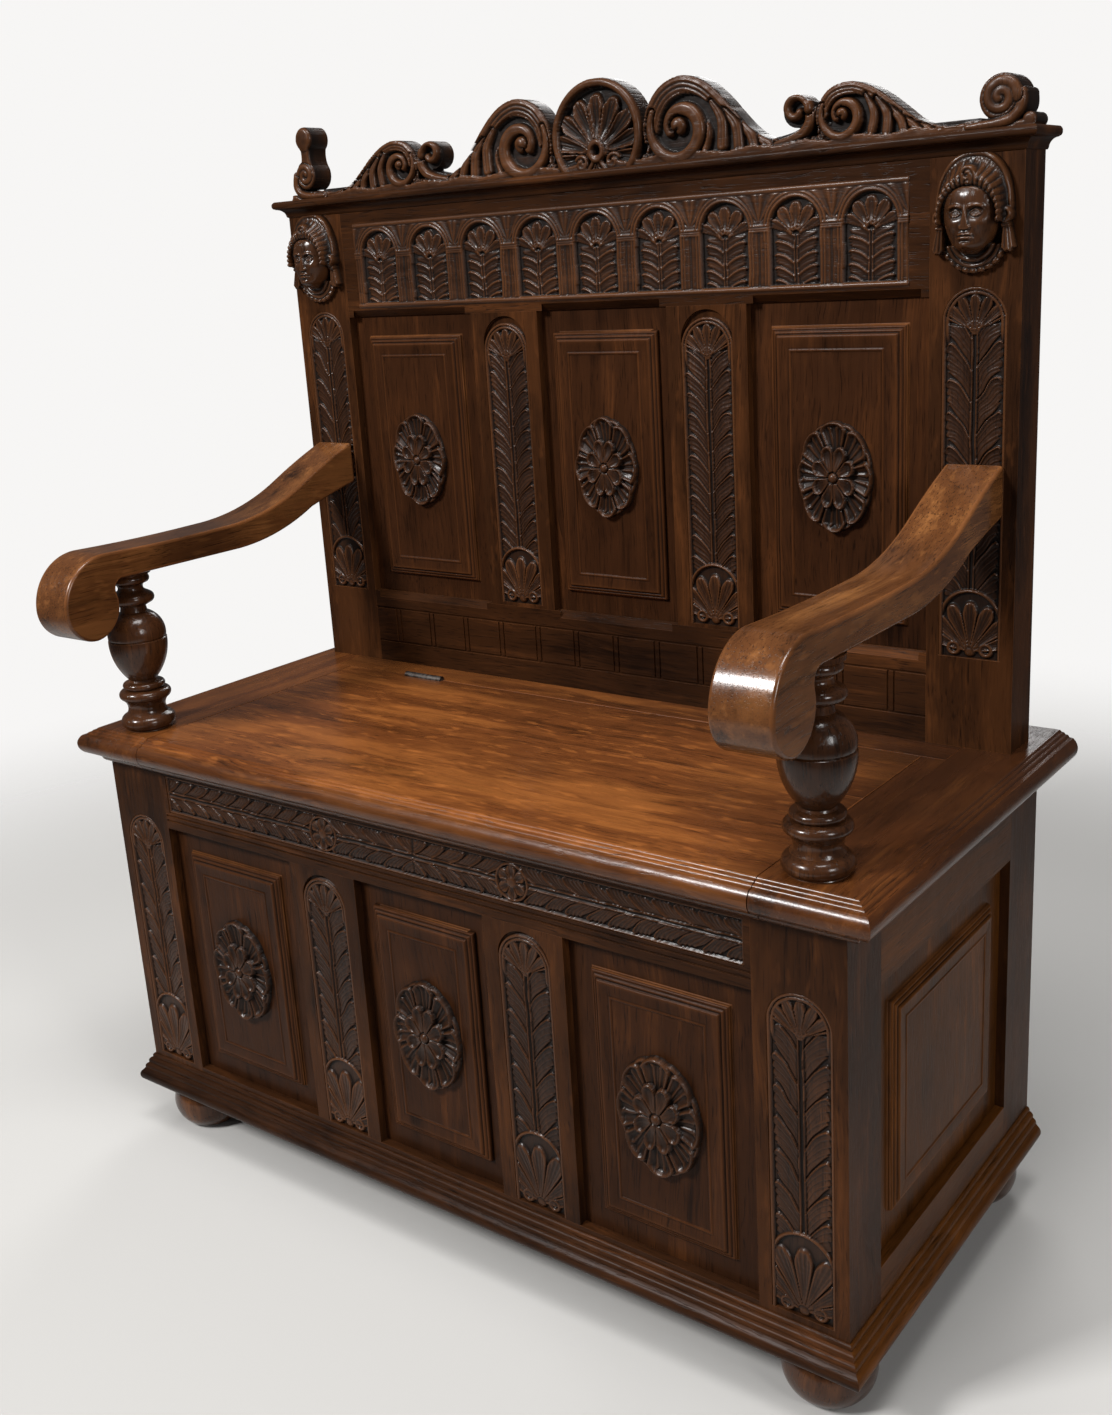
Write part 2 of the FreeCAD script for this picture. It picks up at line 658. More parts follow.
body = newBody("plinth_front")
sketch = drawn(body, "plinth_front_profile", "YZ_Plane", alongside(plinthNose, caseFront, -1, caseFoot))
padded(body, "plinth_front_run", sketch, "2 * (%s + plinth_out)" % caseHalf, middle=True)
for hand, side in sideWays:
    corner = [("%d * %s" % (side, caseHalf), caseFront),
              ("%d * (%s + plinth_out + 5)" % (side, caseHalf), "%s - plinth_out - 5" % caseFront),
              ("%d * (%s + plinth_out + 5)" % (side, caseHalf), "%s + 1" % caseFront),
              ("%d * %s" % (side, caseHalf), "%s + 1" % caseFront)]
    sketch = drawn(body, "plinth_front_mitre_" + hand, "XY_Plane", corner)
    pocketed(body, "plinth_front_end_" + hand, sketch, "foot_high + plinth_high + 1", backwards=True)
keep("plinth_front", body)
for hand, side in sideWays:
    label = "plinth_" + hand
    body = newBody(label)
    sketch = drawn(body, label + "_profile", "XZ_Plane",
                   alongside(plinthNose, "%d * %s" % (side, caseHalf), side, caseFoot), "-(%s)" % caseBack)
    padded(body, label + "_run", sketch, "%s - %s + plinth_out" % (caseBack, caseFront))
    corner = [("%d * %s" % (side, caseHalf), caseFront),
              ("%d * (%s + plinth_out + 5)" % (side, caseHalf), "%s - plinth_out - 5" % caseFront),
              ("%d * (%s - 1)" % (side, caseHalf), "%s - plinth_out - 5" % caseFront),
              ("%d * (%s - 1)" % (side, caseHalf), caseFront)]
    sketch = drawn(body, label + "_mitre", "XY_Plane", corner)
    pocketed(body, label + "_end", sketch, "foot_high + plinth_high + 1", backwards=True)
    keep(label, body)


def turned(label, profile, place):
    """Turn a profile of (radius, height) round its upright axis and stand it on a place."""
    body = newBody(label)
    sketch = drawn(body, label + "_profile", "XZ_Plane", profile)
    turning = body.newObject("PartDesign::Revolution", label + "_turning")
    turning.Profile = sketch
    turning.ReferenceAxis = (sketch, ["V_Axis"])
    turning.Angle = 360
    seat(body, place)
    return keep(label, body)


# Bun feet, each with a dowel up into its post
bun = [("0", "0"), ("foot_round - 17", "0", "foot_high * 0.6", -1),
       ("foot_round", "foot_high * 0.48", "foot_high * 0.5", -1),
       ("foot_round - 14", "foot_high - 5"), ("foot_round - 10", "foot_high - 3"),
       ("foot_round - 10", "foot_high"),
       ("dowel_round", "foot_high"), ("dowel_round", "foot_high + dowel_long"),
       ("0", "foot_high + dowel_long")]
for hand, side in sideWays:
    across = "%d * (%s - foot_inset_x)" % (side, caseHalf)
    turned("bun_foot_front_" + hand, bun, (across, "%s + foot_inset_y" % caseFront, "0"))
    turned("bun_foot_rear_" + hand, bun, (across, "%s - foot_inset_y" % caseBack, "0"))

# Moulded edge of the seat, as (in from the nose, up from the underside): reeds, round nose and cove
seatEdge = [("case_front_set - 1", "0"), ("case_front_set - 3", "2", "11", 1), ("nose_reach - 15", "10"),
            ("5", "12", "((slab_thick - 19) ^ 2 / 4 + 25) / 10", -1), ("5", "slab_thick - 7"),
            ("nose_reach - 15", "slab_thick - 6.4", "3.2", -1), ("nose_reach - 13", "slab_thick - 4.2"),
            ("nose_reach - 11", "slab_thick - 3.9", "3.2", -1), ("nose_reach - 9", "slab_thick - 2"),
            ("nose_reach - 7", "slab_thick - 1.7", "3", -1), ("nose_reach - 5", "slab_thick")]
lidBack = "(%s + lid_back_set)" % seatFront
slabBack = "(%s + slab_deep)" % seatFront
lidEnd = "(%s + lid_gap)" % lidHalf
boardEnd = "(%s - end_board_lap)" % backHalf
noseX = "(%s / 2)" % slabWide


def edged(start, way, back):
    """The seat's edge profile as a closed outline that ends at a straight back."""
    points = alongside(seatEdge, start, way, slabUnder, -1)
    return points + [(back, "seat_high"), (back, slabUnder)]


hingeAxis = "(%s + lid_gap / 2)" % lidBack
scoop = "knuckle_round + knuckle_gap"


def knuckleRoom(name):
    """The hollows round the hinge knuckles, and the leaf recesses, are cut from both edges."""
    rooms = []
    for hand, side in sideWays:
        centre = "%d * hinge_place" % side
        rooms.append(upright("%s_scoop_%s" % (name, hand), scoop, "hinge_long + 1",
                             ("%s - hinge_long / 2 - 0.5" % centre, hingeAxis, "seat_high"),
                             FreeCAD.Rotation(FreeCAD.Vector(0, 1, 0), 90)))
        rooms.append(block("%s_recess_%s" % (name, hand),
                           ("%s - hinge_long / 2 - 0.5" % centre, "%s - hinge_thick - fit_gap" % lidBack,
                            "seat_high - hinge_deep - 0.5"),
                           ("%s + hinge_long / 2 + 0.5" % centre,
                            "%s + lid_gap + hinge_thick + fit_gap" % lidBack,
                            "seat_high + 1")))
    return rooms


# End boards of the seat: the front and side mouldings meet in a mitre
for hand, side in sideWays:
    label = "seat_end_board_" + hand
    body = newBody(label + "_long")
    sketch = drawn(body, label + "_front_profile", "YZ_Plane", edged(seatFront, 1, slabBack))
    padded(body, label + "_front_run", sketch, slabWide, middle=True)
    crossing = newBody(label + "_cross")
    sketch = drawn(crossing, label + "_side_profile", "XZ_Plane",
                   edged("%d * %s" % (side, noseX), -side, "%d * %s" % (side, boardEnd)),
                   "-(%s)" % slabBack)
    padded(crossing, label + "_side_run", sketch, "slab_deep")
    moulded = doc.addObject("Part::Common", label + "_moulded")
    moulded.Base = body
    moulded.Tool = crossing
    socket = upright(label + "_socket", "turned_tenon + fit_gap", "dowel_long + 1",
                     ("%d * %s" % (side, turnedPlace), "%s + turned_set" % seatFront,
                      "seat_high - dowel_long"))
    worked(label, [moulded], [socket])

# Fixed strips beside the lid, and the fixed board behind it that carries the back
strips = []
for hand, side in sideWays:
    name = "seat_end_strip_" + hand
    stock = blocks(name + "_stock", [((lidEnd, "%s + lid_front_board_deep" % seatFront, slabUnder),
                                      (boardEnd, lidBack, "seat_high"))], side)
    nose = newBody(name + "_nose")
    sketch = drawn(nose, name + "_profile", "YZ_Plane",
                   edged(seatFront, 1, "%s + lid_front_board_deep" % seatFront),
                   "%d * %s" % (side, lidEnd))
    padded(nose, name + "_run", sketch, "%s - %s" % (boardEnd, lidEnd), backwards=side < 0)
    strips.append(joined(name, stock + [nose]))
pairOfStrips = doc.addObject("Part::Compound", "seat_end_strips_pair")
pairOfStrips.Links = strips
keep("seat_end_strips", pairOfStrips)

stileRear = "(%s + back_stile_thick)" % backFront
stileTenon = (("%s + 18" % stileInner, "%s + 12" % backFront, "seat_high - dowel_long"),
              ("%s - 1" % boardEnd, "%s - 12" % stileRear, "seat_high"))
stock = blocks("seat_back_board_stock", [(("-" + boardEnd, "%s + lid_gap" % lidBack, slabUnder),
                                          (boardEnd, slabBack, "seat_high"))])
mortises = [blocks("seat_back_board_mortise_" + hand, [grown(stileTenon, "xyz")], side)[0]
            for hand, side in sideWays]
worked("seat_back_board", stock, knuckleRoom("seat_back_board") + mortises)


# Lid: a thick moulded front board and two thinner boards on battens
def lidBoard(label, low, high, cuts=()):
    stock = blocks(label + "_stock", [(("-" + lidHalf, low, "seat_high - lid_board_thick"),
                                       (lidHalf, high, "seat_high"))])
    return worked(label, stock, cuts)


frontBoardBack = "(%s + lid_front_board_deep)" % seatFront
body = newBody("lid_front_board")
sketch = drawn(body, "lid_front_board_profile", "YZ_Plane", edged(seatFront, 1, frontBoardBack))
padded(body, "lid_front_board_run", sketch, "2 * " + lidHalf, middle=True)
keep("lid_front_board", body)
lidJoint = "((%s + %s) / 2)" % (frontBoardBack, lidBack)
lidBoard("lid_middle_board", frontBoardBack, lidJoint)
lidBoard("lid_rear_board", lidJoint, lidBack, knuckleRoom("lid_rear_board"))
battens = doc.addObject("Part::Compound", "lid_battens_set")
battens.Links = [blocks("lid_batten_" + hand, [(
    (lidHalf + " - batten_inset - batten_wide", "%s + 2" % frontBoardBack,
     "seat_high - lid_board_thick - batten_thick"),
    (lidHalf + " - batten_inset", "%s - 22" % lidBack, "seat_high - lid_board_thick"))], side)[0]
    for hand, side in sideWays]
keep("lid_battens", battens)

# Butt hinges: two knuckles on the lid's leaf run between three on the fixed leaf
knuckleLong = "((hinge_long - 4 * knuckle_gap) / 5)"


def hingeLeaf(name, side, plates, knuckles, bore):
    """One leaf at one hinge: a plate in its recess, and its knuckles on the pin's line."""
    low, high = plates
    left = "%d * hinge_place - hinge_long / 2" % side
    solids = [block(name + "_plate", (left, low, "seat_high - hinge_deep"),
                    ("%s + hinge_long" % left, high, "seat_high - knuckle_round - 2 * knuckle_gap"))]
    for index in knuckles:
        start = "%s + %d * (%s + knuckle_gap)" % (left, index, knuckleLong)
        solids.append(block("%s_web_%d" % (name, index),
                            (start, low, "seat_high - knuckle_round - 3 * knuckle_gap"),
                            ("%s + %s" % (start, knuckleLong), high, "seat_high")))
        solids.append(upright("%s_knuckle_%d" % (name, index), "knuckle_round", knuckleLong,
                              (start, hingeAxis, "seat_high"),
                              FreeCAD.Rotation(FreeCAD.Vector(0, 1, 0), 90)))
    leaf = doc.addObject("Part::Cut", name)
    leaf.Base = joined(name + "_solid", solids)
    leaf.Tool = upright(name + "_bore", bore, "hinge_long + 2", ("%s - 1" % left, hingeAxis, "seat_high"),
                        FreeCAD.Rotation(FreeCAD.Vector(0, 1, 0), 90))
    return leaf


for label, plates, knuckles, bore in (
        ("hinge_lid_leaves", ("%s - hinge_thick" % lidBack, lidBack), (1, 3), "pin_round + pin_gap"),
        ("hinge_fixed_leaves", ("%s + lid_gap" % lidBack, "%s + lid_gap + hinge_thick" % lidBack),
         (0, 2, 4), "pin_round")):
    pair = doc.addObject("Part::Compound", label + "_pair")
    pair.Links = [hingeLeaf("%s_%s" % (label, hand), side, plates, knuckles, bore)
                  for hand, side in sideWays]
    keep(label, pair)
pins = doc.addObject("Part::Compound", "hinge_pins_pair")
pins.Links = [upright("hinge_pin_" + hand, "pin_round", "hinge_long",
                      ("%d * hinge_place - hinge_long / 2" % side, hingeAxis, "seat_high"),
                      FreeCAD.Rotation(FreeCAD.Vector(0, 1, 0), 90)) for hand, side in sideWays]
keep("hinge_pins", pins)

# Turned arm posts, as (radius, up from the seat): torus, cove, discs, urn and neck
armUnder = "(arm_rise - arm_thick)"


def turnedUp(height):
    """A height on the post that stands 183 mm under the arm, as a share of its own height."""
    return "%s * %g / 183" % (armUnder, height)


balusterFoot = [("0", "-dowel_long"), ("turned_tenon", "-dowel_long"), ("turned_tenon", "0"),
                ("turned_torus - 4", "0"), ("turned_torus - 4.5", turnedUp(1), turnedUp(8.5), -1),
                ("turned_torus - 4.5", turnedUp(16.5)), ("turned_ring - 1", turnedUp(18)),
                ("turned_ring - 2", turnedUp(20), turnedUp(12), 1), ("turned_ring", turnedUp(33)),
                ("turned_disc - 4", turnedUp(34.5), turnedUp(5.8), -1), ("turned_disc - 4", turnedUp(45.5)),
                ("turned_ring - 4", turnedUp(46.5)), ("turned_ring - 2.5", turnedUp(47), turnedUp(4), -1),
                ("turned_ring - 2.5", turnedUp(54)), ("turned_neck + 2", turnedUp(55))]
balusterBelly = [("turned_neck + 1", turnedUp(57), turnedUp(66), -1), ("turned_belly", turnedUp(104)),
                 ("turned_belly - 1.5", turnedUp(105)),
                 ("turned_belly - 0.5", turnedUp(106.5), turnedUp(28), -1)]
balusterHead = [("turned_neck + 1", turnedUp(136)), ("turned_neck", turnedUp(142)),
                ("turned_ring - 2", turnedUp(146), turnedUp(6), -1), ("turned_ring - 2", turnedUp(156)),
                ("turned_neck + 1", turnedUp(160), turnedUp(5), 1), ("turned_neck + 2", turnedUp(167.5)),
                ("turned_ring - 4", turnedUp(169), turnedUp(5.2), -1), ("turned_ring - 4", turnedUp(177)),
                ("turned_ring", turnedUp(179)), ("turned_ring", armUnder), ("turned_tenon", armUnder),
                ("turned_tenon", "%s + dowel_long * 0.7" % armUnder),
                ("0", "%s + dowel_long * 0.7" % armUnder)]
for hand, side in sideWays:
    turned("arm_post_" + hand, balusterFoot + balusterBelly + balusterHead,
           ("%d * %s" % (side, turnedPlace), "%s + turned_set" % seatFront, "seat_high"))

# Arms: an S-shaped side that ends in a roll over the front, with a tenon into the back
rollY = "(scroll_round - arm_reach + %s)" % seatFront
rollZ = "(seat_high + arm_rise - scroll_drop - 8)"
armBack = backFront


def armPoint(along, up):
    return "%s + %s" % (seatFront, along), "seat_high + %s" % up


armOutline = [
    (armBack, "seat_high + arm_back_rise", "767", -1),
    armPoint("300", "arm_rise + 31") + ("290", 1),
    armPoint("170", "arm_rise") + ("2600", 1),
    ("%s + 22" % rollY, "seat_high + arm_rise + 1", "scroll_round + 22", -1),
    ("%s - scroll_round" % rollY, "%s + 2" % rollZ, "scroll_round + 1", -1),
    (rollY, "%s - scroll_round" % rollZ, "scroll_round + 1", -1),
    ("%s + scroll_round * 0.93" % rollY, "%s + scroll_round * 0.3" % rollZ, "11", 1),
    ("%s + scroll_round + 7" % rollY, "seat_high + %s" % armUnder),
    armPoint("190", armUnder) + ("300", -1),
    armPoint("310", "arm_rise - 1") + ("900", 1),
    (armBack, "seat_high + arm_back_rise - arm_back_deep + 20"),
]
tenonFoot = "seat_high + arm_back_rise - 40"
for hand, side in sideWays:
    label = "arm_" + hand
    body = newBody(label)
    sketch = drawn(body, label + "_profile", "YZ_Plane", armOutline, "%d * %s" % (side, armPlace))
    padded(body, label + "_run", sketch, "2 * arm_half", middle=True)
    sketch = drawn(body, label + "_tenon_outline", "YZ_Plane",
                   [("%s - 5" % armBack, tenonFoot), ("%s + tenon_long" % armBack, tenonFoot),
                    ("%s + tenon_long" % armBack, tenonFoot + " + 30"),
                    ("%s - 5" % armBack, tenonFoot + " + 30")],
                   "%d * %s" % (side, armPlace))
    padded(body, label + "_tenon", sketch, "arm_half", middle=True)
    socket = upright(label + "_socket", "turned_tenon + fit_gap", "dowel_long * 0.7 + 0.5",
                     ("%d * %s" % (side, turnedPlace), "%s + turned_set" % seatFront,
                      "seat_high + %s" % armUnder))
    worked(label, [body], [socket])

# Panelled back: stiles with tenons into the seat, arcaded rail, incised rail, muntins and panels
backRearRail = "(%s + back_rail_thick)" % backFront
highTenon = ("%s + tenon_shoulder" % backOpenHead, "%s - tenon_shoulder" % corniceFoot)
lowBackTenon = ("seat_high + tenon_shoulder", "%s - tenon_shoulder" % backOpenFoot)
for hand, side in sideWays:
    label = "back_stile_" + hand
    stock = blocks(label + "_stock", [
        ((stileInner, backFront, "seat_high"), (backHalf, stileRear, corniceFoot)), stileTenon], side)
    cuts = []
    for low, high in (highTenon, lowBackTenon):
        cuts.append(grown(timber(backFront, low, high,
                                 (stileInner, "%s + tenon_long + fit_gap" % stileInner)), "yz"))
    cuts.append(grown(timber(backFront, "%s - groove_deep" % backOpenFoot,
                             "%s + groove_deep" % backOpenHead,
                             (stileInner, "%s + groove_deep" % stileInner))))
    cuts.append(((armPlace + " - arm_half / 2 - fit_gap", backFront, tenonFoot + " - fit_gap"),
                 (armPlace + " + arm_half / 2 + fit_gap", "%s + tenon_long + fit_gap" % backFront,
                  tenonFoot + " + 30 + fit_gap")))
    tools = blocks(label + "_cut", cuts, side)
    tools += sunkStrip(label + "_strip", "%d * (%s + %s) / 2" % (side, stileInner, backHalf), backFront,
                       "seat_high + back_strip_foot", "%s + strip_margin" % backOpenHead)
    worked(label, stock, tools)

wide = cross(stileInner)
grooveWide = cross(stileInner, " + groove_deep")
tenonWide = cross(stileInner, " + tenon_long")
body = newBody("back_top_rail")
sketch = drawn(body, "back_top_rail_face", "XZ_Plane",
               [(wide[0], backOpenHead), (wide[1], backOpenHead), (wide[1], corniceFoot),
                (wide[0], corniceFoot)],
               "-%s" % backFront)
padded(body, "back_top_rail_board", sketch, "back_rail_thick", backwards=True)
firstArch = "-(arch_count - 1) / 2 * arch_pitch"
archFoot = "(%s + arch_foot)" % backOpenHead
niche = [("%s - arch_wide / 2" % firstArch, archFoot), ("%s + arch_wide / 2" % firstArch, archFoot),
         ("%s + arch_wide / 2" % firstArch, "%s + arch_high - arch_wide / 2" % archFoot,
          "arch_wide / 2 + 0.02", -1),
         ("%s - arch_wide / 2" % firstArch, "%s + arch_high - arch_wide / 2" % archFoot)]
sketch = drawn(body, "arch_outline", "XZ_Plane", niche, "-%s" % backFront)
arch = pocketed(body, "arch", sketch, "arcade_sink")
arcade = body.newObject("PartDesign::LinearPattern", "arcade")
arcade.Originals = [arch]
arcade.Direction = (sketch, ["H_Axis"])
arcade.setExpression("Length", bound("(arch_count - 1) * arch_pitch"))
arcade.setExpression("Occurrences", bound("arch_count"))
body.Tip = arcade
cuts = [grown(timber(backFront, backOpenHead, "%s + groove_deep" % backOpenHead, grooveWide))]
tools = blocks("back_top_rail_cut", cuts)
backBays = (("left", "-%s" % stileInner, "-%s" % muntinOut), ("centre", "-%s" % muntinIn, muntinIn),
            ("right", muntinOut, stileInner))
for hand, low, high in backBays:
    tools.append(sill("back_lintel_" + hand, low, high, backFront, backOpenHead, way=-1))
for hand, side in sideWays:
    tools += blocks("back_top_rail_mortise_" + hand, [grown(timber(
        backFront, backOpenHead, "%s + tenon_long + fit_gap" % backOpenHead,
        ("%s + tenon_shoulder" % muntinIn, "%s - tenon_shoulder" % muntinOut)), "xy")], side)
tenons = []
for hand, side in sideWays:
    tenons += blocks("back_top_rail_tenon_" + hand,
                     [timber(backFront, highTenon[0], highTenon[1],
                             (stileInner, "%s + tenon_long" % stileInner))], side)
worked("back_top_rail", [body] + tenons, tools)

# The incised blocks of the low rail are pairs of upright lines between two level ones
body = newBody("back_bottom_rail")
sketch = drawn(body, "back_bottom_rail_face", "XZ_Plane",
               [(wide[0], "seat_high"), (wide[1], "seat_high"), (wide[1], backOpenFoot),
                (wide[0], backOpenFoot)],
               "-%s" % backFront)
padded(body, "back_bottom_rail_board", sketch, "back_rail_thick", backwards=True)
incisedFoot = "(seat_high + incised_foot)"
for index, level in enumerate((incisedFoot, "(%s + incised_high)" % incisedFoot)):
    line = [(wide[0], "%s - incised_width" % level), (wide[1], "%s - incised_width" % level),
            (wide[1], level), (wide[0], level)]
    sketch = drawn(body, "level_line_%d" % index, "XZ_Plane", line, "-%s" % backFront)
    pocketed(body, "level_cut_%d" % index, sketch, "1.5")
firstLine = "-(incised_count - 1) / 2 * incised_pitch"
pair = []
for index, away in enumerate(("-incised_pair / 2", "incised_pair / 2")):
    centre = "%s + %s" % (firstLine, away)
    line = [("%s - incised_width / 2" % centre, incisedFoot),
            ("%s + incised_width / 2" % centre, incisedFoot),
            ("%s + incised_width / 2" % centre, "%s + incised_high" % incisedFoot),
            ("%s - incised_width / 2" % centre, "%s + incised_high" % incisedFoot)]
    sketch = drawn(body, "upright_line_%d" % index, "XZ_Plane", line, "-%s" % backFront)
    pair.append(pocketed(body, "upright_cut_%d" % index, sketch, "1.5"))
rows = body.newObject("PartDesign::LinearPattern", "incised_row")
rows.Originals = pair
rows.Direction = (sketch, ["H_Axis"])
rows.setExpression("Length", bound("(incised_count - 1) * incised_pitch"))
rows.setExpression("Occurrences", bound("incised_count"))
body.Tip = rows
cuts = [grown(timber(backFront, "%s - groove_deep" % backOpenFoot, backOpenFoot, grooveWide))]
tools = blocks("back_bottom_rail_cut", cuts)
for hand, low, high in backBays:
    tools.append(sill("back_sill_" + hand, low, high, backFront, backOpenFoot))
tenons = []
for hand, side in sideWays:
    tools += blocks("back_bottom_rail_mortise_" + hand, [grown(timber(
        backFront, "%s - tenon_long - fit_gap" % backOpenFoot, backOpenFoot,
        ("%s + tenon_shoulder" % muntinIn, "%s - tenon_shoulder" % muntinOut)), "xy")], side)
    tenons += blocks("back_bottom_rail_tenon_" + hand,
                     [timber(backFront, lowBackTenon[0], lowBackTenon[1],
                             (stileInner, "%s + tenon_long" % stileInner))], side)
worked("back_bottom_rail", [body] + tenons, tools)
for hand, side in sideWays:
    muntin("back_muntin_" + hand, side, backFront, "back_rail_thick", backOpenFoot, backOpenHead,
           "tenon_long", ("4", "strip_margin + 4"))
backPanelPlane = "-(%s + groove_set + groove_thick - fit_gap)" % backFront
for hand, low, high in backBays:
    fieldedPanel("back_panel_" + hand, "XZ_Plane", backPanelPlane, (low, high),
                 (backOpenFoot, backOpenHead), "back_panel_margin")

# Cornice board, moulded on its front and both ends
cornicePart = [("cornice_out - 1", "0"), ("cornice_out - 2", "1.5", "9", 1), ("3", "cornice_thick - 9"),
               ("3", "cornice_thick - 8.6"), ("1.5", "cornice_thick - 8.2", "5", -1),
               ("1.5", "cornice_thick - 0.8"),
               ("2.5", "cornice_thick")]
body = newBody("cornice_long")
noseY = "(%s - cornice_out)" % backFront
corniceBack = "(%s + cornice_back_out)" % stileRear
points = alongside(cornicePart, noseY, 1, corniceFoot, -1)
sketch = drawn(body, "cornice_front_profile", "YZ_Plane",
               points + [(corniceBack, "%s + cornice_thick" % corniceFoot), (corniceBack, corniceFoot)])
padded(body, "cornice_front_run", sketch, "2 * (%s + cornice_out)" % backHalf, middle=True)
crossing = newBody("cornice_cross")
rightEnd = alongside(cornicePart, "(%s + cornice_out)" % backHalf, -1, corniceFoot, -1)
leftEnd = alongside(cornicePart, "-(%s + cornice_out)" % backHalf, 1, corniceFoot, -1)
turnedRight = []
for index in range(len(rightEnd) - 1, -1, -1):
    point = rightEnd[index][:2]
    before = rightEnd[index - 1] if index else ()
    turnedRight.append(point + ((before[2], -before[3]) if len(before) > 2 else ()))
sketch = drawn(crossing, "cornice_end_profile", "XZ_Plane", leftEnd + turnedRight, "-(%s)" % corniceBack)
padded(crossing, "cornice_end_run", sketch, "%s - %s" % (corniceBack, noseY))
board = doc.addObject("Part::Common", "cornice_moulded")
board.Base = body
board.Tool = crossing
keep("cornice", board)

# Scrolled cresting: base strip, shell roundel, large volutes, curls and small volutes with leaf tails
crestFront = "(%s + crest_set)" % backFront
crestTop = "(%s + crest_base_high)" % crestFoot


def leafTail(name, side, start, end, foot):
    """The back of a leaf that falls from the top of a volute to a point on the base strip."""
    body = newBody(name)
    outline = [(start[0], foot), (end[0], foot), (end[0], "%s + 3" % foot, "160", 1), start]
    if side < 0:
        outline = [("-(%s)" % point[0],) + tuple(point[1:3]) + ((-point[3],) if len(point) > 3 else ())
                   for point in outline]
    sketch = drawn(body, name + "_outline", "XZ_Plane", outline, "-%s" % crestFront)
    padded(body, name + "_run", sketch, "crest_thick", backwards=True)
    return body


def volute(name, side, place, lift, size, eye):
    """A scroll seen from the front: sunk crescents round a proud eye leave the curling band."""
    centre = "%d * %s" % (side, place)
    level = "%s + %s" % (crestFoot, lift)
    whole = roundel(name + "_disc", size, "crest_thick", (centre, crestFront, level))
    sunk = []
    for turn, share in enumerate((0.74, 0.42)):
        shift = "%d * %s * %.2f" % (-side, size, 0.1 - 0.04 * turn)
        crescent = doc.addObject("Part::Cut", "%s_crescent_%d" % (name, turn))
        crescent.Base = roundel("%s_outer_%d" % (name, turn), "%s * %.2f" % (size, share),
                                "relief_step + 1",
                                (centre, "%s - 1" % crestFront, level))
        crescent.Tool = roundel("%s_inner_%d" % (name, turn), "%s * %.2f" % (size, share - 0.14),
                                "relief_step + 4",
                                ("%s + %s" % (centre, shift), "%s - 2" % crestFront, level))
        sunk.append(crescent)
    bud = roundel(name + "_eye", eye, "relief_step", (centre, "%s - relief_step" % crestFront, level))
    return whole, sunk, bud


parts = [block("crest_base", ("-" + crestHalf, crestFront, crestFoot),
               (crestHalf, "%s + crest_thick" % crestFront, crestTop))]
sunk = []
for hand, side in sideWays:
    for name, place, lift, size, eye in (("volute", volutePlace, "volute_lift", "volute_round",
                                          "volute_eye"),
                                         ("curl", curlPlace, "curl_lift", "curl_round", "volute_eye / 2"),
                                         ("scroll", scrollPlace, "scroll_lift", "scroll_size",
                                          "volute_eye * 0.7")):
        whole, hollows, bud = volute("%s_%s" % (name, hand), side, place, lift, size, eye)
        parts += [whole, bud]
        sunk += hollows
    parts += blocks("curl_stem_" + hand, [((curlPlace + " - curl_round / 2", crestFront, crestFoot),
                                           (curlPlace + " + curl_round / 2",
                                            "%s + crest_thick" % crestFront,
                                            "%s + curl_lift" % crestFoot))], side)
    parts += blocks("scroll_stem_" + hand, [((scrollPlace + " - scroll_size * 0.8", crestFront, crestFoot),
                                             (scrollPlace + " + scroll_size * 0.6",
                                              "%s + crest_thick" % crestFront,
                                              "%s + scroll_lift" % crestFoot))], side)
    parts += blocks("volute_stem_" + hand, [((volutePlace + " - volute_round * 0.8", crestFront, crestFoot),
                                             (volutePlace + " + volute_round * 0.6",
                                              "%s + crest_thick" % crestFront,
                                              "%s + volute_lift" % crestFoot))], side)
    parts.append(leafTail("volute_tail_" + hand, side,
                          (volutePlace + " + volute_round * 0.55",
                           "%s + volute_lift + volute_round * 0.75" % crestFoot),
                          (voluteTail, "0"), crestFoot))
    parts.append(leafTail("scroll_tail_" + hand, side,
                          (scrollPlace + " + scroll_size * 0.55",
                           "%s + scroll_lift + scroll_size * 0.75" % crestFoot),
                          (scrollTail, "0"), crestFoot))
shell = newBody("shell")
shellLevel = "%s + shell_lift" % crestFoot
rim = [("shell_round", "0", "shell_round", -1), ("0", "shell_round", "shell_round", -1),
       ("-(shell_round)", "0", "shell_round", -1), ("0", "-(shell_round)", "shell_round", -1)]
sketch = drawn(shell, "shell_rim", "XZ_Plane", rim)
padded(shell, "shell_disc", sketch, "crest_thick", backwards=True)
flute = [("-2", "shell_round * 0.3"), ("2", "shell_round * 0.3"),
         ("shell_round * 0.15", "shell_round * 0.7", "shell_round * 0.155", -1),
         ("-shell_round * 0.15", "shell_round * 0.7")]
sketch = drawn(shell, "flute_outline", "XZ_Plane", flute)
fluteCut = pocketed(shell, "flute", sketch, "relief_step + 1")
fan = shell.newObject("PartDesign::PolarPattern", "flutes")
fan.Originals = [fluteCut]
fan.Axis = (sketch, ["N_Axis"])
fan.Angle = 360
fan.setExpression("Occurrences", bound("shell_flutes"))
shell.Tip = fan
seat(shell, ("0", crestFront, shellLevel))
parts.append(shell)
ring = doc.addObject("Part::Cut", "shell_ring")
ring.Base = roundel("shell_ring_outer", "shell_round * 0.9", "relief_step",
                    ("0", "%s - 1" % crestFront, shellLevel))
ring.Tool = roundel("shell_ring_inner", "shell_round * 0.83", "relief_step + 2",
                    ("0", "%s - 2" % crestFront, shellLevel))
sunk.append(ring)
sunk.append(block("crest_foot_cut", ("-" + backHalf, "%s - 20" % crestFront, "%s - 60" % crestFoot),
                  (backHalf, "%s + 60" % crestFront, crestFoot)))
worked("cresting", parts, sunk)

